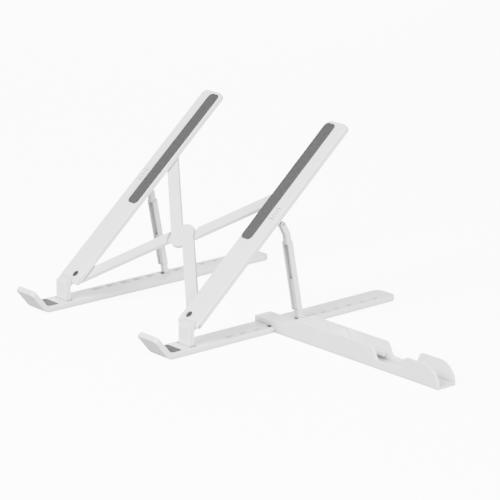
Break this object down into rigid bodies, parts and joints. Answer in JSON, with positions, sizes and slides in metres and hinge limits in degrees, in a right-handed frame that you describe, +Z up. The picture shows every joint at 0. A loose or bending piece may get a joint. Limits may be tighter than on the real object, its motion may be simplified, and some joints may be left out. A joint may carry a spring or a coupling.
{
  "type": "folding laptop stand",
  "caption": "Folding laptop stand: two hooked rails with sloping padded arms, notched struts, crossed scissor braces and a clip-on phone holder.",
  "frame": {"origin": "bottom centre of the whole stand's box, on the table", "axes": "+X to the stand's right-hand side as the user faces it (the phone holder's side), +Y from the front hooks to the back, +Z up"},
  "size_m": [0.3694, 0.2584, 0.1587],
  "materials": {
    "white_plastic": "satin",
    "grey_rubber": "matte",
    "clear_rubber": "matte",
    "natural_plastic": "satin",
    "steel": "satin"
  },
  "bodies": {
    "base_right": {"rail_right": "white_plastic", "hook_pad_right": "grey_rubber", "foot_pads_right": "clear_rubber", "hinge_post_right": "white_plastic"},
    "arm_right": {"arm_right": "white_plastic", "arm_pad_right": "grey_rubber", "hinge_pin_right": "steel"},
    "brace_upper": {"brace_upper": "white_plastic", "pivot_screw_right": "steel", "slide_stud_left": "natural_plastic", "hub_screw": "steel"},
    "brace_lower": {"brace_lower": "white_plastic", "pivot_screw_left": "steel", "slide_stud_right": "natural_plastic"},
    "arm_left": {"arm_left": "white_plastic", "arm_pad_left": "grey_rubber", "hinge_pin_left": "steel"},
    "base_left": {"rail_left": "white_plastic", "hook_pad_left": "grey_rubber", "foot_pads_left": "clear_rubber", "hinge_post_left": "white_plastic"},
    "strut_right": {"strut_right": "white_plastic", "strut_pin_right": "steel"},
    "strut_left": {"strut_left": "white_plastic", "strut_pin_left": "steel"},
    "holder": {"phone_holder": "white_plastic", "holder_cover": "white_plastic"}
  },
  "joints": [
    {"name": "fold", "type": "hinge", "parent": "base_right", "child": "arm_right", "pos_m": [-0.01185, -0.08345, 0.02121], "axis": [1, 0, 0], "range_deg": [-40.8, 0]},
    {"name": "width", "type": "hinge", "parent": "arm_right", "child": "brace_upper", "pos_m": [-0.01805, -0.0772, 0.02284], "axis": [0, -0.6534, 0.757], "range_deg": [-43.35, 0]},
    {"name": "hub", "type": "hinge", "parent": "brace_upper", "child": "brace_lower", "pos_m": [-0.09235, -0.02618, 0.0649], "axis": [0, -0.6534, 0.757], "range_deg": [0, 86.71]},
    {"name": "left_pivot", "type": "hinge", "parent": "brace_lower", "child": "arm_left", "pos_m": [-0.16665, -0.0772, 0.02284], "axis": [0, -0.6534, 0.757], "range_deg": [-43.36, 0]},
    {"name": "left_hinge", "type": "hinge", "parent": "arm_left", "child": "base_left", "pos_m": [-0.17285, -0.08345, 0.02121], "axis": [1, 0, 0], "range_deg": [0, 40.8]},
    {"name": "strut_right_foot", "type": "hinge", "parent": "base_right", "child": "strut_right", "pos_m": [-0.00585, 0.02454, 0.0065], "axis": [1, 0, 0], "range_deg": [-100.6, 0]},
    {"name": "strut_left_foot", "type": "hinge", "parent": "base_left", "child": "strut_left", "pos_m": [-0.17885, 0.02454, 0.0065], "axis": [1, 0, 0], "range_deg": [-100.6, 0]},
    {"name": "holder_slide", "type": "slide", "parent": "base_right", "child": "holder", "axis": [0, 1, 0], "range_m": [-0.07, 0.005]}
  ],
  "couplings": [
    {"joint": "hub", "follows": "width", "ratio": -2},
    {"joint": "left_pivot", "follows": "width", "ratio": 1},
    {"joint": "left_hinge", "follows": "fold", "ratio": -1},
    {"joint": "strut_right_foot", "follows": "fold", "ratio": 2.4654},
    {"joint": "strut_left_foot", "follows": "fold", "ratio": 2.4654}
  ]
}
